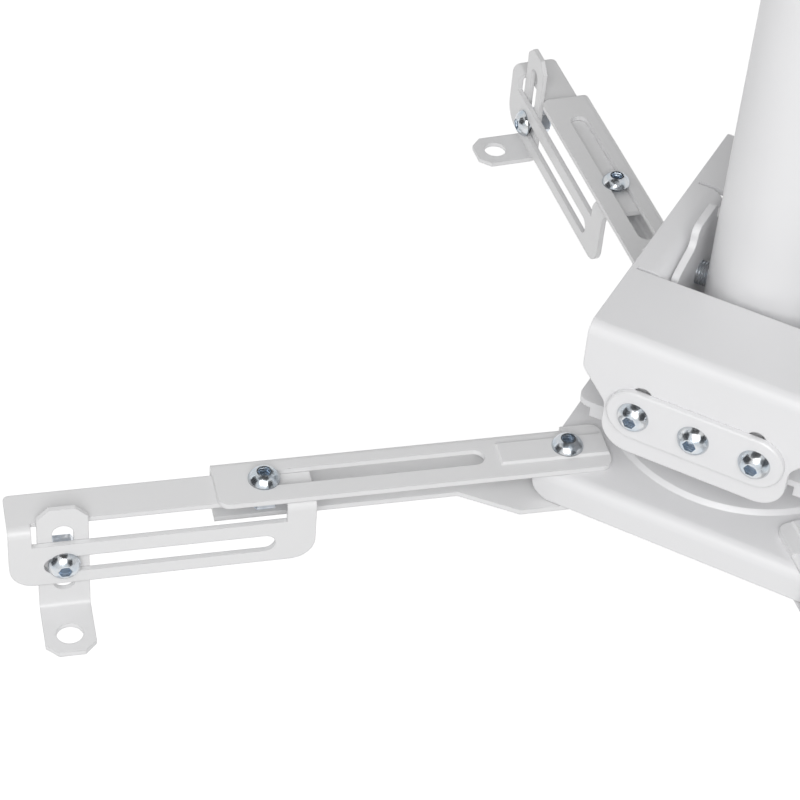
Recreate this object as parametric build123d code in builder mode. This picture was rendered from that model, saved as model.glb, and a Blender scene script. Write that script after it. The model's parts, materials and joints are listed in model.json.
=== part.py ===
from build123d import *
import os

# Projector ceiling mount, in millimetres.
# +Z is up, and the origin is the centre of the ceiling plate's face against the ceiling.
# X runs along the tilt straps and Y across them.

# Sheet, fits and clearances
bracket_sheet = 2.5       # upper bracket, lower bracket and pole foot
hub_sheet = 2.0
arm_sheet = 2.0
slider_sheet = 1.8        # outer arms and feet
strap_sheet = 2.2
bend = 4.0                # outer bend radius of the thicker sheet
arm_bend = 3.0            # outer bend radius of the arms and feet
running = 0.05            # radial clearance of a pivot
clear = 0.3               # gap between sheets that move past each other
slip = 0.1                # gap between sheets that slide face to face
past = 1.0                # how far a cut starts outside the sheet

# Fasteners
small_bolt = 6.0          # shank diameters
large_bolt = 8.0
slot_play = 0.4           # radial play of a small bolt in a slot
bolt_end = 1.5            # thread that shows past a nut
collar_bolt_end = 4.0     # thread inside the pole
nut_height = 0.83         # these are shares of the bolt's diameter
nut_width = 1.66
head_width = 1.75
head_height = 0.55
head_rim = 0.07
head_flat = 0.84
socket_width = 0.66
socket_depth = 0.33

# Ceiling plate and pole
plate_size = 120.0
plate_sheet = 3.0
plate_corner = 12.0
ceiling_pitch = 90.0
ceiling_slot = 14.0       # slot length, end to end
ceiling_hole = 6.5        # slot width
collar_length = 34.0
collar_wall = 3.0
pole_diameter = 43.0
pole_wall = 2.0
pole_length = 210.0

# Pole foot and its tilt pivot
foot_lift = 16.0          # pole's lower end below the tilt pivot
ear_gap = 5.0             # pole's side to the inside of an ear
ear_rise = 12.0           # tilt pivot to the shoulder of an ear
ear_peak = 23.0           # tilt pivot to the top of an ear
ear_wide = 44.0
ear_narrow = 17.0
ear_slope = 4.25          # rise of an ear's shoulder
ear_round = 3.2

# Upper bracket
bracket_length = 80.0     # along X
lobe_length = 62.0        # the flange's narrow lower part
bracket_depth = 118.4     # outer faces of the flanges, along Y
bracket_height = 44.9
bracket_wide = 17.3       # top face to where the flange starts to narrow
bracket_waist = 28.3      # top face to where the flange is narrow
bracket_round = 6.0
lobe_round = 9.5
top_round = 1.0
opening_length = 69.2
opening_depth = 53.0
tab_bend = 6.0
tab_drop = 25.0
pivot_drop = 14.3         # top face to the pole's tilt pivot
relief = 1.2              # width of the relief slits
relief_length = 3.4

# Straps and their three bolts
strap_height = 18.6
strap_pitch = 20.4
strap_drop = 27.9         # top face to the row of bolts
cradle_tilt = 15.0        # degrees each way
slot_margin = 6.0         # degrees of slot past the tilt
strap_edge = 0.5

# Lower bracket
base_length = 91.0
base_depth = 87.0
base_drop = 2.9           # upper bracket's lobes down to the base's underside
base_lift = 18.5          # underside above the hub plate's top face
base_round = 4.0
cradle_length = 52.0      # the ears, along X
cradle_round = 9.0
stop_width = 10.0
stop_depth = 6.0

# Hub plate
hub_length = 102.0
hub_depth = 120.0
hub_flange = 12.1
hub_corner = 7.0
boss_diameter = 95.0
boss_rise = 1.5
boss_slope = 45.0         # degrees
spacer_diameter = 32.0
pivot_x = 44.7
pivot_y = 48.0

# Inner arms
strip_width = 20.4
arm_inboard = 13.5        # pivot to the inner end
arm_outboard = 117.0      # pivot to the outer end
arm_corner = 4.0
arm_lip = 11.0
lip_flare_reach = 17.5
lip_flare_width = 12.2    # middle of the arm to the flared lip's edge
lip_flare_end = 36.0
lip_gap = 0.3             # hub flange to the lip
web_start = 12.0          # the side web starts outboard of the hub plate
slot_start = 28.0
slot_end = 104.4
rib_width = 10.0
rib_rise = 1.0
rib_slope = 30.0          # degrees
rib_end = 23.5

# Outer arms
outer_inboard = 15.5      # slide bolt to the inner end
outer_outboard = 83.0     # slide bolt to the outer end
outer_depth = 24.6
outer_corner = 8.0
web_corner = 2.0
web_reach = 6.0           # slide bolt to the web's far edge
flange_face = 11.1        # slide bolt to the flange's outer face
fold_slot_start = -6.0    # the slot at the fold, from the slide bolt
fold_slot_end = 75.6
fold_slot_drop = 7.4
rail_slot_start = -2.4
rail_slot_end = 72.0
rail_drop = 16.4          # depth of the foot's bolt

# Feet
foot_width = 16.4
foot_top = 6.5
foot_drop = 38.3
foot_reach = 30.2
foot_chamfer = 4.0
foot_hole = 8.6
foot_hole_reach = 22.2
foot_slot_top = 0.8
foot_slot_bottom = 29.6

# Where each arm stands: pivot side in X and Y, angle, slide bolt's distance,
# foot bolt's distance and how far the foot is raised
arms = {
    1: (-1, -1, 219.4, 101.0, 65.6, 0.0),
    2: (-1, 1, 134.7, 62.2, 65.6, 9.0),
    3: (1, -1, 314.0, 84.0, 60.0, 0.0),
    4: (1, 1, 44.0, 84.0, 60.0, 0.0),
}

# Levels and places worked out from the sizes above
pole_end = -plate_sheet - pole_length
tilt_z = pole_end + foot_lift
bracket_top = tilt_z + pivot_drop
strap_z = bracket_top - strap_drop
lobe_bottom = bracket_top - bracket_height
flange_y = bracket_depth / 2
strap_face = flange_y + strap_sheet
cradle_face = flange_y - bracket_sheet - clear
cradle_inside = cradle_face - bracket_sheet
hub_top = lobe_bottom - base_drop - base_lift
base_bottom = hub_top + base_lift
base_top = base_bottom + bracket_sheet
pole_radius = pole_diameter / 2
ear_inside = pole_radius + ear_gap - bracket_sheet / 2
ear_outside = ear_inside + bracket_sheet
tab_face = ear_outside + clear
small_radius = small_bolt / 2
large_radius = large_bolt / 2
small_nut = small_bolt * nut_height
large_nut = large_bolt * nut_height
slot_radius = small_radius + slot_play
foot_outside = flange_face - slider_sheet - slip
foot_inside = foot_outside - slider_sheet
lip_top = -hub_flange - lip_gap
lip_bottom = lip_top - arm_sheet

os.makedirs("parts", exist_ok=True)


def save(part, name):
    part.label = name
    export_step(part, f"parts/{name}.step")


# Button-head socket bolt: the head's underside is at z = 0 and the shank points down
def make_bolt(diameter, length):
    radius = diameter / 2
    head_radius = diameter * head_width / 2
    head_top = diameter * head_height
    rim = diameter * head_rim
    crown = diameter * head_flat / 2
    with BuildPart() as bolt:
        with BuildSketch(Plane.XZ):
            with BuildLine():
                Polyline((0, head_top), (0, -length), (radius, -length), (radius, 0), (head_radius, 0))
                Line((head_radius, 0), (head_radius, rim))
                RadiusArc((head_radius, rim), (crown, head_top), -head_radius)
                Line((crown, head_top), (0, head_top))
            make_face()
        revolve(axis=Axis.Z)
        with BuildSketch(Plane.XY.offset(head_top)):
            RegularPolygon(diameter * socket_width / 2, 6, major_radius=False)
        extrude(amount=-diameter * socket_depth, mode=Mode.SUBTRACT)
    return bolt.part


# Hexagon nut: the top face is at z = 0 and the nut hangs below it
def make_nut(diameter):
    height = diameter * nut_height
    with BuildPart() as nut:
        with BuildSketch():
            RegularPolygon(diameter * nut_width / 2, 6, major_radius=False)
            Circle(diameter / 2 + running, mode=Mode.SUBTRACT)
        extrude(amount=-height)
    return nut.part


# A folded sheet's section: a line with round bends, thickened to one side
def sheet_section(points, radius, thickness, side):
    with BuildSketch() as section:
        with BuildLine():
            FilletPolyline(*points, radius=radius)
            offset(amount=thickness, side=side)
        make_face()
    return section.sketch


# Ceiling plate: a pressed square with four slotted holes
with BuildPart() as ceiling_plate:
    with BuildSketch(Plane.XY):
        RectangleRounded(plate_size, plate_size, plate_corner)
        with GridLocations(ceiling_pitch, ceiling_pitch, 2, 2):
            SlotOverall(ceiling_slot, ceiling_hole, mode=Mode.SUBTRACT)
    extrude(amount=-plate_sheet)
save(ceiling_plate.part, "ceiling_plate")

# Collar welded under the plate, which the pole slides into
collar_inside = pole_radius + slip
collar_outside = collar_inside + collar_wall
collar_bolt_z = -plate_sheet - collar_length / 2
with BuildPart() as ceiling_collar:
    with BuildSketch(Plane.XY.offset(-plate_sheet)):
        Circle(collar_outside)
        Circle(collar_inside, mode=Mode.SUBTRACT)
    extrude(amount=-collar_length)
    with Locations((0, 0, collar_bolt_z)):
        Cylinder(small_radius + running, plate_size, rotation=(0, 90, 0), mode=Mode.SUBTRACT)
save(ceiling_collar.part, "ceiling_collar")

# Pole: a round tube, cross-drilled for the collar's bolts and for the tilt bolt
with BuildPart() as pole:
    with BuildSketch(Plane.XY.offset(pole_end)):
        Circle(pole_radius)
        Circle(pole_radius - pole_wall, mode=Mode.SUBTRACT)
    extrude(amount=pole_length)
    with Locations((0, 0, collar_bolt_z)):
        Cylinder(small_radius + running, plate_size, rotation=(0, 90, 0), mode=Mode.SUBTRACT)
    with Locations((0, 0, tilt_z)):
        Cylinder(large_radius + running, plate_size, rotation=(0, 90, 0), mode=Mode.SUBTRACT)
save(pole.part, "pole")

# Two bolts hold the pole in its collar
collar_bolt = make_bolt(small_bolt, collar_wall + pole_wall + collar_bolt_end)
with BuildPart() as collar_bolts:
    with Locations(
        Location((collar_outside, 0, collar_bolt_z), (0, 90, 0)),
        Location((-collar_outside, 0, collar_bolt_z), (0, -90, 0)),
    ):
        add(collar_bolt)
save(collar_bolts.part, "collar_bolts")

# Pole foot: a folded sheet under the pole, with an ear on each side of it.
# Each ear is wide below and draws in over two round shoulders to a narrow top.
ear_top = tilt_z + ear_peak
shoulder = tilt_z + ear_rise
foot_bottom = pole_end - bracket_sheet
with BuildPart() as pole_foot:
    with BuildSketch(Plane.XZ):
        add(
            sheet_section(
                [
                    (-ear_outside, ear_top),
                    (-ear_outside, foot_bottom),
                    (ear_outside, foot_bottom),
                    (ear_outside, ear_top),
                ],
                bend, bracket_sheet, Side.LEFT,
            )
        )
    extrude(amount=ear_wide / 2, both=True)
    with BuildSketch(Plane.YZ):
        with BuildLine():
            FilletPolyline(
                (-ear_wide / 2, foot_bottom - bend),
                (-ear_wide / 2, shoulder),
                (-ear_narrow / 2, shoulder + ear_slope),
                (-ear_narrow / 2, ear_top),
                (ear_narrow / 2, ear_top),
                (ear_narrow / 2, shoulder + ear_slope),
                (ear_wide / 2, shoulder),
                (ear_wide / 2, foot_bottom - bend),
                radius=ear_round,
                close=True,
            )
        make_face()
    extrude(amount=bracket_length, both=True, mode=Mode.INTERSECT)
    with Locations((0, 0, tilt_z)):
        Cylinder(large_radius + running, plate_size, rotation=(0, 90, 0), mode=Mode.SUBTRACT)
save(pole_foot.part, "pole_foot")

# Tilt bolt and nut: one long bolt through both tabs, both ears and the pole
tab_back = tab_face + bracket_sheet
with BuildPart() as tilt_bolt:
    with Locations(Location((tab_back, 0, tilt_z), (0, 90, 0))):
        add(make_bolt(large_bolt, 2 * tab_back + large_nut + bolt_end))
save(tilt_bolt.part, "tilt_bolt")
with BuildPart() as tilt_nut:
    with Locations(Location((-tab_back, 0, tilt_z), (0, 90, 0))):
        add(make_nut(large_bolt))
save(tilt_nut.part, "tilt_nut")

# Upper bracket: folded down at the front and back, with an opening for the pole.
# Its flanges narrow to a rounded lobe, and two tabs are rolled down beside the pole.
with BuildPart() as upper_bracket:
    with BuildSketch(Plane.YZ):
        add(
            sheet_section(
                [
                    (-flange_y, lobe_bottom),
                    (-flange_y, bracket_top),
                    (flange_y, bracket_top),
                    (flange_y, lobe_bottom),
                ],
                bend, bracket_sheet, Side.RIGHT,
            )
        )
    extrude(amount=bracket_length / 2, both=True)
    half_rounds = [top_round, bracket_round, bracket_round, lobe_round]
    with BuildSketch(Plane.XZ):
        with BuildLine():
            FilletPolyline(
                (-bracket_length / 2, bracket_top + bend),
                (-bracket_length / 2, bracket_top - bracket_wide),
                (-lobe_length / 2, bracket_top - bracket_waist),
                (-lobe_length / 2, lobe_bottom),
                (lobe_length / 2, lobe_bottom),
                (lobe_length / 2, bracket_top - bracket_waist),
                (bracket_length / 2, bracket_top - bracket_wide),
                (bracket_length / 2, bracket_top + bend),
                radius=half_rounds + half_rounds[::-1],
                close=True,
            )
        make_face()
    extrude(amount=bracket_depth, both=True, mode=Mode.INTERSECT)
    with BuildSketch(Plane.XY.offset(bracket_top)):
        Rectangle(opening_length, opening_depth)
        with Locations((0, (opening_depth - relief) / 2), (0, -(opening_depth - relief) / 2)):
            Rectangle(opening_length + 2 * relief_length, relief)
    extrude(amount=-2 * bend, mode=Mode.SUBTRACT)
    with BuildSketch(Plane.XZ):
        add(
            sheet_section(
                [
                    (-opening_length / 2 - past, bracket_top),
                    (-tab_face, bracket_top),
                    (-tab_face, bracket_top - tab_drop),
                ],
                tab_bend, bracket_sheet, Side.RIGHT,
            )
        )
        mirror(about=Plane.YZ)
    extrude(amount=opening_depth / 2 - relief, both=True)
    with Locations((0, 0, tilt_z)):
        Cylinder(large_radius + running, plate_size, rotation=(0, 90, 0), mode=Mode.SUBTRACT)
    with Locations((0, 0, strap_z)):
        Cylinder(small_radius + running, 2 * bracket_depth, rotation=(90, 0, 0), mode=Mode.SUBTRACT)
    with BuildSketch(Plane.XZ.offset(-bracket_depth)):
        for side_angle in (0, 180):
            with BuildLine():
                CenterArc(
                    (0, strap_z),
                    strap_pitch,
                    side_angle - cradle_tilt - slot_margin,
                    2 * (cradle_tilt + slot_margin),
                )
                offset(amount=slot_radius, side=Side.BOTH)
            make_face()
    extrude(amount=2 * bracket_depth, mode=Mode.SUBTRACT)
save(upper_bracket.part, "upper_bracket")

# Straps: oblong plates over the flanges, with three bolts through each
for strap_name, side in (("front_strap", -1), ("rear_strap", 1)):
    with BuildPart() as strap:
        with BuildSketch(Plane.XZ.offset(-side * flange_y)):
            with Locations((0, strap_z)):
                SlotCenterToCenter(2 * strap_pitch, strap_height)
                with GridLocations(strap_pitch, strap_height, 3, 1):
                    Circle(small_radius + running, mode=Mode.SUBTRACT)
        extrude(amount=-side * strap_sheet)
        rim = strap.faces().sort_by(Axis.Y)[-1 if side > 0 else 0].outer_wire().edges()
        chamfer(rim, length=strap_edge)
    save(strap.part, strap_name)

# Strap bolts and nuts: three at the front and three at the back
strap_bolt = make_bolt(small_bolt, strap_face - cradle_inside + small_nut + bolt_end)
small_nut_solid = make_nut(small_bolt)
with BuildPart() as strap_bolts:
    for column in (-1, 0, 1):
        with Locations(
            Location((column * strap_pitch, -strap_face, strap_z), (90, 0, 0)),
            Location((column * strap_pitch, strap_face, strap_z), (-90, 0, 0)),
        ):
            add(strap_bolt)
save(strap_bolts.part, "strap_bolts")
with BuildPart() as strap_nuts:
    for column in (-1, 0, 1):
        with Locations(
            Location((column * strap_pitch, -cradle_inside, strap_z), (90, 0, 0)),
            Location((column * strap_pitch, cradle_inside, strap_z), (-90, 0, 0)),
        ):
            add(small_nut_solid)
save(strap_nuts.part, "strap_nuts")

# Lower bracket: a wide base with ears folded up inside the upper flanges,
# and a short stop turned down at each corner of the base
cradle_top = strap_z + strap_height / 2
with BuildPart() as lower_bracket:
    with BuildSketch(Plane.YZ):
        add(
            sheet_section(
                [
                    (-cradle_face, cradle_top),
                    (-cradle_face, base_bottom),
                    (cradle_face, base_bottom),
                    (cradle_face, cradle_top),
                ],
                bend, bracket_sheet, Side.LEFT,
            )
        )
    extrude(amount=base_length / 2, both=True)
    with BuildSketch(Plane.XY.offset(base_bottom - bend)):
        Rectangle(cradle_length, bracket_depth)
        Rectangle(base_length, base_depth)
    extrude(amount=2 * bracket_height, mode=Mode.INTERSECT)
    fillet(lower_bracket.edges().filter_by(Axis.Y).group_by(Axis.Z)[-1], radius=cradle_round)
    fillet(lower_bracket.edges().filter_by(Axis.Z).group_by(Axis.X)[0], radius=base_round)
    fillet(lower_bracket.edges().filter_by(Axis.Z).group_by(Axis.X)[-1], radius=base_round)
    stop_x = base_length / 2 - stop_width
    with BuildSketch(Plane.XY.offset(base_top)):
        with GridLocations(2 * stop_x, base_depth - bracket_sheet, 2, 2):
            Rectangle(stop_width, bracket_sheet)
    extrude(amount=-stop_depth)
    with Locations((0, 0, strap_z)):
        with GridLocations(strap_pitch, strap_height, 3, 1):
            Cylinder(small_radius + running, 2 * bracket_depth, rotation=(90, 0, 0), mode=Mode.SUBTRACT)
    with Locations((0, 0, base_bottom)):
        Cylinder(large_radius + running, 4 * bracket_sheet, mode=Mode.SUBTRACT)
save(lower_bracket.part, "lower_bracket")

# Hub plate: a shallow tray with a pressed round boss, folded down at the front and back
boss_top = hub_top + boss_rise
with BuildPart() as hub_plate:
    with BuildSketch(Plane.YZ):
        add(
            sheet_section(
                [
                    (-hub_depth / 2, hub_top - hub_flange),
                    (-hub_depth / 2, hub_top),
                    (hub_depth / 2, hub_top),
                    (hub_depth / 2, hub_top - hub_flange),
                ],
                bend, hub_sheet, Side.RIGHT,
            )
        )
    extrude(amount=hub_length / 2, both=True)
    fillet(hub_plate.edges().filter_by(Axis.Y).group_by(Axis.Z)[0], radius=hub_corner)
    with BuildSketch(Plane.XY.offset(boss_top)):
        Circle(boss_diameter / 2 - boss_rise)
    extrude(amount=-boss_rise - hub_sheet / 2, taper=-boss_slope)
    with BuildSketch(Plane.XY.offset(hub_top - hub_sheet + boss_rise)):
        Circle(boss_diameter / 2 - boss_rise - hub_sheet)
    extrude(amount=-boss_rise, taper=-boss_slope, mode=Mode.SUBTRACT)
    with BuildSketch(Plane.XY.offset(boss_top)):
        Circle(large_radius + running)
        with GridLocations(2 * pivot_x, 2 * pivot_y, 2, 2):
            Circle(small_radius + running)
    extrude(amount=-boss_rise - hub_flange, mode=Mode.SUBTRACT)
save(hub_plate.part, "hub_plate")

# Swivel: a spacer on the boss, one bolt down through base, spacer and hub, and its nut
with BuildPart() as swivel_spacer:
    with BuildSketch(Plane.XY.offset(boss_top)):
        Circle(spacer_diameter / 2)
        Circle(large_radius + running, mode=Mode.SUBTRACT)
    extrude(amount=base_bottom - boss_top)
save(swivel_spacer.part, "swivel_spacer")
with BuildPart() as swivel_bolt:
    swivel_grip = base_top - boss_top + hub_sheet + large_nut + bolt_end
    with Locations((0, 0, base_top)):
        add(make_bolt(large_bolt, swivel_grip))
save(swivel_bolt.part, "swivel_bolt")
with BuildPart() as swivel_nut:
    with Locations((0, 0, boss_top - hub_sheet)):
        add(make_nut(large_bolt))
save(swivel_nut.part, "swivel_nut")

# Inner arm, in its own frame: pivot at the origin, outboard along X, hub plate's top at z = 0.
# The strip lies on the hub plate, the side web drops at -Y and the lip runs back under the hub.
half_strip = strip_width / 2
with BuildPart() as inner_arm:
    with BuildSketch(Plane.YZ):
        add(
            sheet_section(
                [
                    (half_strip, arm_sheet),
                    (-half_strip, arm_sheet),
                    (-half_strip, lip_bottom),
                    (lip_flare_width, lip_bottom),
                ],
                arm_bend, arm_sheet, Side.LEFT,
            )
        )
    extrude(amount=arm_outboard)
    with BuildSketch(Plane.YZ):
        with Locations((0, arm_sheet / 2)):
            Rectangle(strip_width, arm_sheet)
        with Locations(((lip_flare_width - half_strip) / 2, lip_bottom + arm_sheet / 2)):
            Rectangle(lip_flare_width + half_strip, arm_sheet)
    extrude(amount=-arm_inboard)
    with BuildSketch(Plane.XZ):
        with Locations(((web_start - arm_inboard) / 2, -hub_flange / 2 - lip_gap / 2)):
            Rectangle(web_start + arm_inboard, hub_flange + lip_gap)
    extrude(amount=strip_width, both=True, mode=Mode.SUBTRACT)
    with BuildSketch(Plane.XY.offset(lip_top)):
        with BuildLine():
            Polyline(
                (lip_flare_reach, lip_flare_width + past),
                (lip_flare_reach, lip_flare_width),
                (lip_flare_end, arm_lip - half_strip),
                (arm_outboard + past, arm_lip - half_strip),
                (arm_outboard + past, lip_flare_width + past),
                close=True,
            )
        make_face()
    extrude(amount=-2 * arm_sheet, mode=Mode.SUBTRACT)
    fillet(inner_arm.edges().filter_by(Axis.Z).group_by(Axis.X)[0], radius=arm_corner)
    outer_corners = inner_arm.edges().filter_by(Axis.Z).group_by(Axis.X)[-1]
    fillet(outer_corners.sort_by(Axis.Y)[-1], radius=arm_corner)
    with BuildSketch(Plane.XY.offset(arm_sheet)):
        with Locations(((rib_end - arm_inboard) / 2, 0)):
            Rectangle(rib_end + arm_inboard, rib_width)
    extrude(amount=rib_rise, taper=rib_slope)
    with BuildSketch(Plane.XY.offset(rib_rise)):
        with Locations(((rib_end - arm_inboard) / 2 - arm_sheet, 0)):
            Rectangle(rib_end + arm_inboard, rib_width - 2 * arm_sheet)
    extrude(amount=-rib_rise, mode=Mode.SUBTRACT)
    with BuildSketch(Plane.XY.offset(arm_sheet + rib_rise)):
        Circle(small_radius + running)
        with Locations(((slot_start + slot_end) / 2, 0)):
            SlotOverall(slot_end - slot_start, 2 * slot_radius)
    extrude(amount=-2 * arm_sheet - rib_rise, mode=Mode.SUBTRACT)
    with BuildSketch(Plane.XY.offset(lip_top)):
        Circle(small_radius + running)
    extrude(amount=-arm_sheet, mode=Mode.SUBTRACT)

# Outer arm, in its own frame: slide bolt at the origin, outboard along X, strip's underside at z = 0.
# One web under the strip and one flange at +Y, with a slot at the fold and a slot in the flange.
outer_length = outer_outboard + outer_inboard
outer_middle = (outer_outboard - outer_inboard) / 2
with BuildPart() as outer_arm:
    with BuildSketch(Plane.YZ.offset(-outer_inboard)):
        add(
            sheet_section(
                [
                    (-web_reach, -slip),
                    (flange_face, -slip),
                    (flange_face, -outer_depth),
                ],
                arm_bend, slider_sheet, Side.RIGHT,
            )
        )
    extrude(amount=outer_length)
    lower_corners = outer_arm.edges().filter_by(Axis.Y).group_by(Axis.Z)[0]
    fillet(lower_corners, radius=outer_corner)
    web_corners = outer_arm.edges().filter_by(Axis.Z).group_by(Axis.Y)[0]
    fillet(web_corners, radius=web_corner)
    with BuildSketch(Plane.XZ.offset(-flange_face - past)):
        with Locations(((fold_slot_start + fold_slot_end) / 2, -fold_slot_drop)):
            Rectangle(fold_slot_end - fold_slot_start, 2 * fold_slot_drop, align=(Align.CENTER, Align.MIN))
    extrude(amount=flange_face + past - foot_inside + clear, mode=Mode.SUBTRACT)
    with BuildSketch(Plane.XZ.offset(-flange_face - past)):
        with Locations(((rail_slot_start + rail_slot_end) / 2, -rail_drop)):
            SlotOverall(rail_slot_end - rail_slot_start, 2 * slot_radius)
    extrude(amount=2 * slider_sheet + 2 * past, mode=Mode.SUBTRACT)
    with BuildSketch(Plane.XY.offset(past)):
        Circle(small_radius + running)
    extrude(amount=-2 * slider_sheet - 2 * past, mode=Mode.SUBTRACT)

# Foot, in its own frame: foot bolt's X at the origin, levels as on the outer arm.
# A slotted tab behind the flange, bent out below it, with a chamfered end and one hole.
with BuildPart() as foot:
    with BuildSketch(Plane.YZ.offset(-foot_width / 2)):
        add(
            sheet_section(
                [
                    (foot_inside, foot_top),
                    (foot_inside, -foot_drop),
                    (foot_reach, -foot_drop),
                ],
                arm_bend, slider_sheet, Side.LEFT,
            )
        )
    extrude(amount=foot_width)
    chamfer(foot.edges().filter_by(Axis.Y).group_by(Axis.Z)[-1], length=foot_chamfer)
    chamfer(foot.edges().filter_by(Axis.Z).group_by(Axis.Y)[-1], length=foot_chamfer)
    with BuildSketch(Plane.XZ.offset(-foot_outside - past)):
        with Locations((0, -(foot_slot_top + foot_slot_bottom) / 2)):
            SlotOverall(foot_slot_bottom - foot_slot_top, 2 * slot_radius, rotation=90)
    extrude(amount=slider_sheet + 2 * past, mode=Mode.SUBTRACT)
    with BuildSketch(Plane.XY.offset(-foot_drop)):
        with Locations((0, foot_hole_reach)):
            Circle(foot_hole / 2)
    extrude(amount=2 * slider_sheet, mode=Mode.SUBTRACT)

# Arm fasteners, in the frames of the pieces that they hold
hub_grip = arm_sheet + rib_rise - lip_bottom + small_nut + bolt_end
hub_bolt = make_bolt(small_bolt, hub_grip).moved(Location((0, 0, arm_sheet + rib_rise)))
hub_nut = small_nut_solid.moved(Location((0, 0, lip_bottom)))
slide_grip = arm_sheet + slip + slider_sheet + small_nut + bolt_end
slide_bolt = make_bolt(small_bolt, slide_grip).moved(Location((0, 0, arm_sheet)))
slide_nut = small_nut_solid.moved(Location((0, 0, -slip - slider_sheet)))
foot_grip = flange_face - foot_inside + small_nut + bolt_end
foot_bolt = make_bolt(small_bolt, foot_grip).moved(Location((0, flange_face, -rail_drop), (-90, 0, 0)))
foot_nut = small_nut_solid.moved(Location((0, foot_inside, -rail_drop), (-90, 0, 0)))

# Each arm is the same set of pieces, turned about its own pivot and set at its own slide
for number, (side_x, side_y, angle, slide, foot_place, raised) in arms.items():
    at_pivot = Location((side_x * pivot_x, side_y * pivot_y, hub_top), (0, 0, angle))
    at_slide = at_pivot * Location((slide, 0, 0))
    at_foot = at_pivot * Location((slide + foot_place, 0, 0))
    save(inner_arm.part.moved(at_pivot), f"inner_arm_{number}")
    save(hub_bolt.moved(at_pivot), f"hub_bolt_{number}")
    save(hub_nut.moved(at_pivot), f"hub_nut_{number}")
    save(outer_arm.part.moved(at_slide), f"outer_arm_{number}")
    save(slide_bolt.moved(at_slide), f"slide_bolt_{number}")
    save(slide_nut.moved(at_slide), f"slide_nut_{number}")
    save(foot.part.moved(at_foot * Location((0, 0, raised))), f"foot_{number}")
    save(foot_bolt.moved(at_foot), f"foot_bolt_{number}")
    save(foot_nut.moved(at_foot), f"foot_nut_{number}")
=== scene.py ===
# %% [markdown]
# A projector ceiling mount: white powder-coated sheet steel, a painted pole and
# bright zinc-plated socket bolts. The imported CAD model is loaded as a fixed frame,
# and everything below only dresses it, so the sizes are never touched.

# %% Load the frame
import json
import bmesh
import bpy
from mathutils import Matrix, Vector


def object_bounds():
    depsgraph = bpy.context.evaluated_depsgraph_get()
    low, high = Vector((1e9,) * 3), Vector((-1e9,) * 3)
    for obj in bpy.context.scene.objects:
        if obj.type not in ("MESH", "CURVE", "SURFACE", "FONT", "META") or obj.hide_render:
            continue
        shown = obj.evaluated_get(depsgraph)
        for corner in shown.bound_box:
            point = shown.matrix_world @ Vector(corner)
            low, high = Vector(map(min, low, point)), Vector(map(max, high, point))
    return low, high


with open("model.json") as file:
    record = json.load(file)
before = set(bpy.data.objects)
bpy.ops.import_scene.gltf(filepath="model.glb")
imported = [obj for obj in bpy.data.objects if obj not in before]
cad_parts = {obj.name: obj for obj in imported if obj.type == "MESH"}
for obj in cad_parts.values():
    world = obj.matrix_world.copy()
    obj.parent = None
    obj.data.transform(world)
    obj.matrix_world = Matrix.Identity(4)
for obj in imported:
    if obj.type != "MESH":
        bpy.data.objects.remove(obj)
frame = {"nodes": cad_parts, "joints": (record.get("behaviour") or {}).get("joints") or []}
cad_low, cad_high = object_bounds()
nodes = frame["nodes"]

# %% [markdown]
# The frame's units are metres. The swivel's joint lies on the hub plate's top face,
# and each arm's slide joint gives the arm's direction, so the camera, the lamps and
# the threads can all be placed by the object itself.

# %% Places that later cells use
joints = {joint["name"]: joint for joint in frame["joints"]}
hub_top = joints["swivel"]["pos_m"][2]
middle = Vector((0, 0, hub_top))
up = Vector((0, 0, 1))
arm_directions = {number: Vector(joints[f"arm_slide_{number}"]["axis"]) for number in (1, 2, 3, 4)}
print("hub plate's top face at", round(hub_top, 4), "m")

# %% [markdown]
# Several materials share the same effects, so each effect is a node group with named
# sockets. These small functions make a group, add a node and set up the usual noise.


# %% Node helpers
def new_group(name, inputs, outputs):
    group = bpy.data.node_groups.new(name, "ShaderNodeTree")
    for socket_name, socket_type, value in inputs:
        socket = group.interface.new_socket(socket_name, in_out="INPUT", socket_type=socket_type)
        socket.default_value = value
    for socket_name, socket_type in outputs:
        group.interface.new_socket(socket_name, in_out="OUTPUT", socket_type=socket_type)
    return group, add_node(group, "NodeGroupInput"), add_node(group, "NodeGroupOutput")


def add_node(tree, kind, **settings):
    node = tree.nodes.new(kind)
    for name, value in settings.items():
        setattr(node, name, value)
    return node


def put(tree, socket, value):
    if isinstance(value, bpy.types.NodeSocket):
        tree.links.new(value, socket)
    else:
        socket.default_value = value


def math_node(tree, operation, first, second=0.0):
    node = add_node(tree, "ShaderNodeMath", operation=operation)
    put(tree, node.inputs[0], first)
    put(tree, node.inputs[1], second)
    return node.outputs["Value"]


def noise_field(tree, coordinates, scale, detail):
    noise = add_node(tree, "ShaderNodeTexNoise")
    put(tree, noise.inputs["Vector"], coordinates)
    put(tree, noise.inputs["Scale"], scale)
    put(tree, noise.inputs["Detail"], detail)
    return noise.outputs["Fac"]


def ranged(tree, value, low, high):
    mapped = add_node(tree, "ShaderNodeMapRange")
    put(tree, mapped.inputs["Value"], value)
    put(tree, mapped.inputs["To Min"], low)
    put(tree, mapped.inputs["To Max"], high)
    return mapped.outputs["Result"]


print("helpers ready")

# %% [markdown]
# Powder coat is paint baked from powder. Up close it has a fine, soft orange peel,
# and its tone and gloss change a little from place to place. All of it is noise in
# the piece's own coordinates, in sizes of about a millimetre and of some centimetres.

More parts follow.
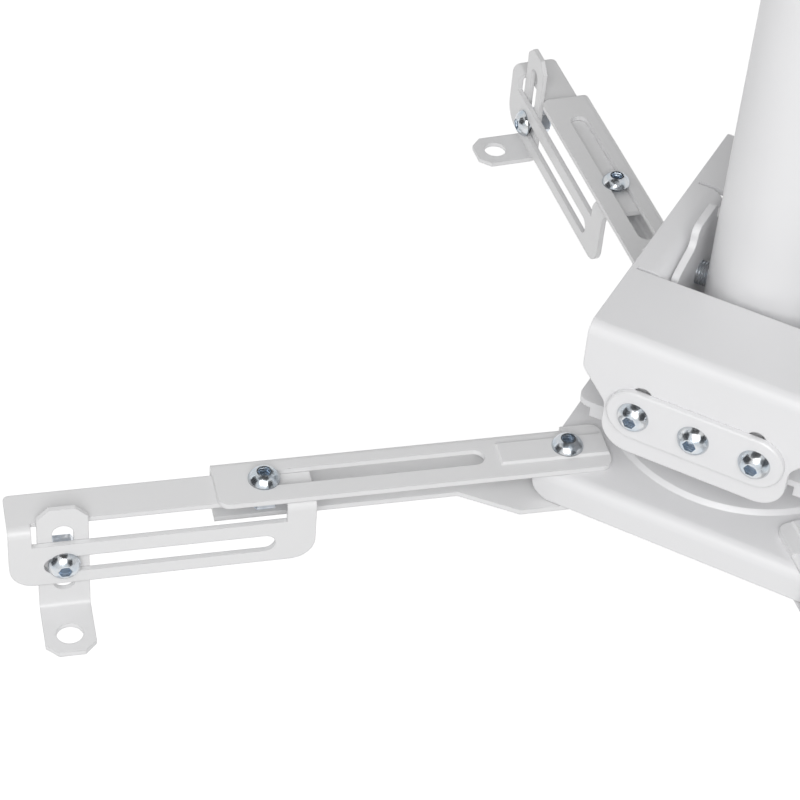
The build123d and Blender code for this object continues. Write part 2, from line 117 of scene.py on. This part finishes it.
# %% Node group: powder grain
grain, grain_in, grain_out = new_group(
    "powder grain",
    [
        ("Colour", "NodeSocketColor", (0.8, 0.8, 0.8, 1)),
        ("Peel Scale", "NodeSocketFloat", 900.0),
        ("Gloss Low", "NodeSocketFloat", 0.35),
        ("Gloss High", "NodeSocketFloat", 0.45),
        ("Tone Change", "NodeSocketFloat", 0.03),
    ],
    [("Colour", "NodeSocketColor"), ("Roughness", "NodeSocketFloat"), ("Height", "NodeSocketFloat")],
)
peel_detail = 2.0
patch_scale = 26.0
patch_detail = 3.0
grain_place = add_node(grain, "ShaderNodeTexCoord").outputs["Object"]
peel = noise_field(grain, grain_place, grain_in.outputs["Peel Scale"], peel_detail)
patches = noise_field(grain, grain_place, patch_scale, patch_detail)
gloss = ranged(grain, patches, grain_in.outputs["Gloss Low"], grain_in.outputs["Gloss High"])
toned = add_node(grain, "ShaderNodeMix", data_type="RGBA", blend_type="MULTIPLY")
darkening = math_node(grain, "MULTIPLY", patches, grain_in.outputs["Tone Change"])
put(grain, toned.inputs["Factor"], darkening)
put(grain, toned.inputs["A"], grain_in.outputs["Colour"])
put(grain, toned.inputs["B"], (0.0, 0.0, 0.0, 1))
put(grain, grain_out.inputs["Colour"], toned.outputs["Result"])
put(grain, grain_out.inputs["Roughness"], gloss)
put(grain, grain_out.inputs["Height"], peel)
print("group", grain.name, "with", len(grain.nodes), "nodes")

# %% [markdown]
# A screw thread seen from the side is a row of ridges along the bolt's axis. The
# height is a triangle wave of the distance along the axis. It is kept to the shank,
# where the surface faces straight away from that axis and leans hardly at all.

# %% Node group: thread
thread, thread_in, thread_out = new_group(
    "thread",
    [("Axis", "NodeSocketVector", (0, 0, 1)), ("Pitch", "NodeSocketFloat", 0.001)],
    [("Height", "NodeSocketFloat")],
)
half_turn = 0.5
largest_lean = 0.03
thread_place = add_node(thread, "ShaderNodeTexCoord")
along = add_node(thread, "ShaderNodeVectorMath", operation="DOT_PRODUCT")
put(thread, along.inputs[0], thread_place.outputs["Object"])
put(thread, along.inputs[1], thread_in.outputs["Axis"])
turns = math_node(thread, "DIVIDE", along.outputs["Value"], thread_in.outputs["Pitch"])
ridges = math_node(thread, "PINGPONG", turns, half_turn)
facing = add_node(thread, "ShaderNodeVectorMath", operation="DOT_PRODUCT")
put(thread, facing.inputs[0], thread_place.outputs["Normal"])
put(thread, facing.inputs[1], thread_in.outputs["Axis"])
lean = math_node(thread, "ABSOLUTE", facing.outputs["Value"])
on_shank = math_node(thread, "LESS_THAN", lean, largest_lean)
put(thread, thread_out.inputs["Height"], math_node(thread, "MULTIPLY", ridges, on_shank))
print("group", thread.name, "with", len(thread.nodes), "nodes")

# %% [markdown]
# The white pieces differ by little more than their coat: the pole is smoother than
# the folded sheet, and the straps have more gloss. One function makes them all. The
# bevel node rounds the light on cut edges, as a coat of paint does.


# %% White powder coats
edge_radius = 0.0005
edge_samples = 4
peel_strength = 0.35
tone_change = 0.05


def powder_coat(name, colour, peel_scale=900.0, gloss=(0.34, 0.44), peel_depth=0.00005):
    material = bpy.data.materials.new(name)
    material.use_nodes = True
    tree = material.node_tree
    shader = tree.nodes["Principled BSDF"]
    coat = add_node(tree, "ShaderNodeGroup", node_tree=grain)
    put(tree, coat.inputs["Colour"], (*colour, 1))
    put(tree, coat.inputs["Peel Scale"], peel_scale)
    put(tree, coat.inputs["Gloss Low"], gloss[0])
    put(tree, coat.inputs["Gloss High"], gloss[1])
    put(tree, coat.inputs["Tone Change"], tone_change)
    edges = add_node(tree, "ShaderNodeBevel", samples=edge_samples)
    put(tree, edges.inputs["Radius"], edge_radius)
    bump = add_node(tree, "ShaderNodeBump")
    put(tree, bump.inputs["Strength"], peel_strength)
    put(tree, bump.inputs["Distance"], peel_depth)
    put(tree, bump.inputs["Height"], coat.outputs["Height"])
    put(tree, bump.inputs["Normal"], edges.outputs["Normal"])
    put(tree, shader.inputs["Base Color"], coat.outputs["Colour"])
    put(tree, shader.inputs["Roughness"], coat.outputs["Roughness"])
    put(tree, shader.inputs["Normal"], bump.outputs["Normal"])
    put(tree, shader.inputs["IOR"], 1.46)
    put(tree, shader.inputs["Coat Weight"], 0.15)
    put(tree, shader.inputs["Coat Roughness"], 0.22)
    return material


sheet_white = powder_coat("white powder-coated sheet", (0.79, 0.79, 0.80))
arm_white = powder_coat("white powder-coated arm", (0.79, 0.79, 0.795), peel_scale=1100.0)
pole_white = powder_coat("white painted pole", (0.79, 0.79, 0.80), peel_scale=600.0, peel_depth=0.00003)
strap_white = powder_coat("white strap", (0.79, 0.79, 0.80), gloss=(0.28, 0.36))
print("white coats", [coat.name for coat in (sheet_white, arm_white, pole_white, strap_white)])

# %% [markdown]
# Bright zinc plate has a thin passivated film that gives the metal a blue cast in
# places. The colour runs between a clear and a blue metal by noise, and the gloss
# follows it. The mix is ranged past both ends, which gives the noise more contrast. A
# second noise, smoother and a little finer, is the slight waviness of a plated head,
# which breaks up what it reflects.

# %% Node group: zinc film
film, film_in, film_out = new_group(
    "zinc film",
    [
        ("Clear", "NodeSocketColor", (0.62, 0.63, 0.64, 1)),
        ("Blue", "NodeSocketColor", (0.46, 0.53, 0.60, 1)),
        ("Gloss Low", "NodeSocketFloat", 0.18),
        ("Gloss High", "NodeSocketFloat", 0.30),
    ],
    [("Colour", "NodeSocketColor"), ("Roughness", "NodeSocketFloat"), ("Height", "NodeSocketFloat")],
)
cloud_scale = 260.0
cloud_detail = 3.0
least_blue = -0.8
most_blue = 1.6
wave_scale = 420.0
wave_detail = 1.0
film_place = add_node(film, "ShaderNodeTexCoord").outputs["Object"]
clouds = noise_field(film, film_place, cloud_scale, cloud_detail)
tinted = add_node(film, "ShaderNodeMix", data_type="RGBA")
put(film, tinted.inputs["Factor"], ranged(film, clouds, least_blue, most_blue))
put(film, tinted.inputs["A"], film_in.outputs["Clear"])
put(film, tinted.inputs["B"], film_in.outputs["Blue"])
film_gloss = ranged(film, clouds, film_in.outputs["Gloss Low"], film_in.outputs["Gloss High"])
put(film, film_out.inputs["Colour"], tinted.outputs["Result"])
put(film, film_out.inputs["Roughness"], film_gloss)
put(film, film_out.inputs["Height"], noise_field(film, film_place, wave_scale, wave_detail))
print("group", film.name, "with", len(film.nodes), "nodes")

# %% [markdown]
# One function makes all the metals. The film pools in hollows, so the sockets come
# out bluer than the heads. A bolt's material also knows the direction of its thread.


# %% Zinc plate
hollow_blue = (0.44, 0.52, 0.62, 1)
hollow_reach = 0.003
hollow_samples = 8
wave_strength = 0.6
wave_depth = 0.0004
thread_strength = 1.0
thread_depth = 0.0005


def zinc_plate(name, axis=up, clear=(0.62, 0.63, 0.64), blue=(0.46, 0.53, 0.60), gloss=(0.18, 0.30)):
    material = bpy.data.materials.new(name)
    material.use_nodes = True
    tree = material.node_tree
    shader = tree.nodes["Principled BSDF"]
    plate = add_node(tree, "ShaderNodeGroup", node_tree=film)
    put(tree, plate.inputs["Clear"], (*clear, 1))
    put(tree, plate.inputs["Blue"], (*blue, 1))
    put(tree, plate.inputs["Gloss Low"], gloss[0])
    put(tree, plate.inputs["Gloss High"], gloss[1])
    openness = add_node(tree, "ShaderNodeAmbientOcclusion", samples=hollow_samples, only_local=True)
    put(tree, openness.inputs["Distance"], hollow_reach)
    pooled = add_node(tree, "ShaderNodeMix", data_type="RGBA")
    put(tree, pooled.inputs["Factor"], openness.outputs["AO"])
    put(tree, pooled.inputs["A"], hollow_blue)
    put(tree, pooled.inputs["B"], plate.outputs["Colour"])
    waves = add_node(tree, "ShaderNodeBump")
    put(tree, waves.inputs["Strength"], wave_strength)
    put(tree, waves.inputs["Distance"], wave_depth)
    put(tree, waves.inputs["Height"], plate.outputs["Height"])
    ridges = add_node(tree, "ShaderNodeGroup", node_tree=thread)
    put(tree, ridges.inputs["Axis"], axis)
    bump = add_node(tree, "ShaderNodeBump")
    put(tree, bump.inputs["Strength"], thread_strength)
    put(tree, bump.inputs["Distance"], thread_depth)
    put(tree, bump.inputs["Height"], ridges.outputs["Height"])
    put(tree, bump.inputs["Normal"], waves.outputs["Normal"])
    put(tree, shader.inputs["Base Color"], pooled.outputs["Result"])
    put(tree, shader.inputs["Roughness"], plate.outputs["Roughness"])
    put(tree, shader.inputs["Normal"], bump.outputs["Normal"])
    put(tree, shader.inputs["Metallic"], 1.0)
    return material


zinc_x = zinc_plate("zinc-plated bolt along X", Vector((1, 0, 0)))
zinc_y = zinc_plate("zinc-plated bolt along Y", Vector((0, 1, 0)))
zinc_z = zinc_plate("zinc-plated upright bolt")
nut_zinc = zinc_plate(
    "zinc-plated nut", clear=(0.72, 0.74, 0.76), blue=(0.55, 0.62, 0.72), gloss=(0.22, 0.36)
)
foot_zincs = {
    number: zinc_plate(f"zinc-plated foot bolt {number}", direction.cross(up))
    for number, direction in arm_directions.items()
}
print("metals", [metal.name for metal in (zinc_x, zinc_y, zinc_z, nut_zinc, *foot_zincs.values())])

# %% [markdown]
# Each CAD node keeps its shape and gets its finish by its name. The first word in the
# list that the node's name holds decides, so bolts and nuts come before the sheets.

# %% Finishes on the CAD nodes
finish_by_word = [
    *((f"foot_bolt_{number}", zinc) for number, zinc in foot_zincs.items()),
    ("nut", nut_zinc),
    ("strap_bolts", zinc_y),
    ("tilt_bolt", zinc_x),
    ("collar_bolts", zinc_x),
    ("bolt", zinc_z),
    ("strap", strap_white),
    ("pole_foot", sheet_white),
    ("pole", pole_white),
    ("collar", pole_white),
    ("arm", arm_white),
    ("foot", arm_white),
]
for node_name, node in nodes.items():
    material = next((finish for word, finish in finish_by_word if word in node_name), sheet_white)
    node.data.materials.clear()
    node.data.materials.append(material)
print("dressed", len(nodes), "nodes")

# %% [markdown]
# The photograph looks down at the hub from the front and the right, through a long
# lens. The camera was solved from the object's edges and bolts, and its place is
# given from the middle of the hub plate.

# %% Camera
picture_size = 800
focal_pixels = 2520.1
camera_place = middle + Vector((0.14767, -0.62356, 0.56888))
camera_forward = Vector((-0.2977, 0.6754, -0.6747)).normalized()
camera_right = Vector((0.8868, 0.4574, 0.0667))
camera_up = camera_right.cross(camera_forward).normalized()
camera_data = bpy.data.cameras.new("camera")
camera = bpy.data.objects.new("camera", camera_data)
bpy.context.scene.collection.objects.link(camera)
turn = Matrix((camera_forward.cross(camera_up), camera_up, -camera_forward)).transposed()
camera.matrix_world = Matrix.Translation(camera_place) @ turn.to_4x4()
camera_data.sensor_width = 36.0
camera_data.lens = camera_data.sensor_width * focal_pixels / picture_size
camera_data.clip_start = 0.01
camera_data.clip_end = 50
bpy.context.scene.camera = camera
print("lens", round(camera_data.lens, 1), "mm")

# %% [markdown]
# A white object on white needs light that draws its folds. One soft panel above the
# camera makes the faces that look at it bright, and it is near enough for the far
# arms to come out a step darker. A weak panel on the left opens the shadows.


# %% Lamps
def soft_panel(name, offset, size, watts):
    data = bpy.data.lights.new(name, "AREA")
    data.size = size
    data.energy = watts
    panel = bpy.data.objects.new(name, data)
    bpy.context.scene.collection.objects.link(panel)
    panel.location = middle + Vector(offset)
    panel.rotation_euler = (-Vector(offset)).to_track_quat("-Z", "Y").to_euler()
    return panel


soft_panel("key panel", (0.30, -0.90, 0.72), 0.7, 8.5)
soft_panel("left panel", (-1.20, -0.60, 0.50), 0.9, 2.0)
print("lamps", [lamp.name for lamp in bpy.data.lights])

# %% [markdown]
# The world lights the object at a low, even level, and is plain white where the
# camera or a reflection sees it. So the background is white without any more light
# on the object.


# %% World
def seen_directly(tree):
    ray = add_node(tree, "ShaderNodeLightPath").outputs
    seen = math_node(tree, "MAXIMUM", ray["Is Camera Ray"], ray["Is Glossy Ray"])
    return math_node(tree, "MAXIMUM", seen, ray["Is Transmission Ray"])


world_level = 0.45
world = bpy.data.worlds.new("studio")
bpy.context.scene.world = world
world.use_nodes = True
background = world.node_tree.nodes["Background"]
put(world.node_tree, background.inputs["Color"], (1, 1, 1, 1))
world_strength = ranged(world.node_tree, seen_directly(world.node_tree), world_level, 1.0)
put(world.node_tree, background.inputs["Strength"], world_strength)
print("world level", world_level)

# %% [markdown]
# The floor lies well below the feet, because the mount hangs from a ceiling. It is a
# lit surface, with a glow added where the camera or a reflection sees it, which brings
# it up to white. At this drop the shadow is so soft that the glow hides it. The glow
# grows with distance, because the lamps' light falls off there and the far floor would
# end in a grey edge.


# %% Floor
def flat_square(name, half_width):
    mesh = bpy.data.meshes.new(name)
    square = bmesh.new()
    bmesh.ops.create_grid(square, x_segments=1, y_segments=1, size=half_width)
    square.to_mesh(mesh)
    square.free()
    piece = bpy.data.objects.new(name, mesh)
    bpy.context.scene.collection.objects.link(piece)
    return piece


floor_drop = 0.45
floor_half_width = 6.0
near_glow = 0.54
far_glow = 0.64
near_distance = 0.6
far_distance = 1.4
floor = flat_square("floor", floor_half_width)
floor.location = (0, 0, cad_low.z - floor_drop)
floor_material = bpy.data.materials.new("pale floor")
floor_material.use_nodes = True
floor_tree = floor_material.node_tree
floor_shader = floor_tree.nodes["Principled BSDF"]
put(floor_tree, floor_shader.inputs["Base Color"], (0.86, 0.86, 0.86, 1))
put(floor_tree, floor_shader.inputs["Roughness"], 0.9)
put(floor_tree, floor_shader.inputs["Emission Color"], (1, 1, 1, 1))
floor_place = add_node(floor_tree, "ShaderNodeTexCoord").outputs["Object"]
floor_distance = add_node(floor_tree, "ShaderNodeVectorMath", operation="LENGTH")
put(floor_tree, floor_distance.inputs[0], floor_place)
glow = add_node(floor_tree, "ShaderNodeMapRange")
put(floor_tree, glow.inputs["Value"], floor_distance.outputs["Value"])
put(floor_tree, glow.inputs["From Min"], near_distance)
put(floor_tree, glow.inputs["From Max"], far_distance)
put(floor_tree, glow.inputs["To Min"], near_glow)
put(floor_tree, glow.inputs["To Max"], far_glow)
floor_strength = math_node(floor_tree, "MULTIPLY", seen_directly(floor_tree), glow.outputs["Result"])
put(floor_tree, floor_shader.inputs["Emission Strength"], floor_strength)
floor.data.materials.append(floor_material)
print("floor at", round(floor.location.z, 3), "m")

# %% [markdown]
# Polished bolt heads need something dark to reflect, or they look like plastic. A
# studio hangs black cards for that. These are seen by reflections alone, so they
# cast no shadow and take no light away.

# %% Black cards
card_black = bpy.data.materials.new("black card")
card_black.use_nodes = True
card_shader = card_black.node_tree.nodes["Principled BSDF"]
put(card_black.node_tree, card_shader.inputs["Base Color"], (0.02, 0.022, 0.026, 1))
card_half_width = 0.55
card_offsets = {
    "card_left": (-0.95, -0.80, 0.40),
    "card_right": (1.15, -0.45, 0.45),
    "card_back": (-0.20, 0.95, 0.85),
    "card_over": (-0.10, -0.25, 1.25),
}
for card_name, offset in card_offsets.items():
    card = flat_square(card_name, card_half_width)
    card.data.materials.append(card_black)
    card.location = middle + Vector(offset)
    card.rotation_euler = (-Vector(offset)).to_track_quat("Z", "Y").to_euler()
    card.visible_camera = False
    card.visible_diffuse = False
    card.visible_shadow = False
print("cards", len(card_offsets))

# %% [markdown]
# The colours are judged as written, so the view transform is the plain one.

# %% Finish
bpy.context.scene.view_settings.view_transform = "Standard"
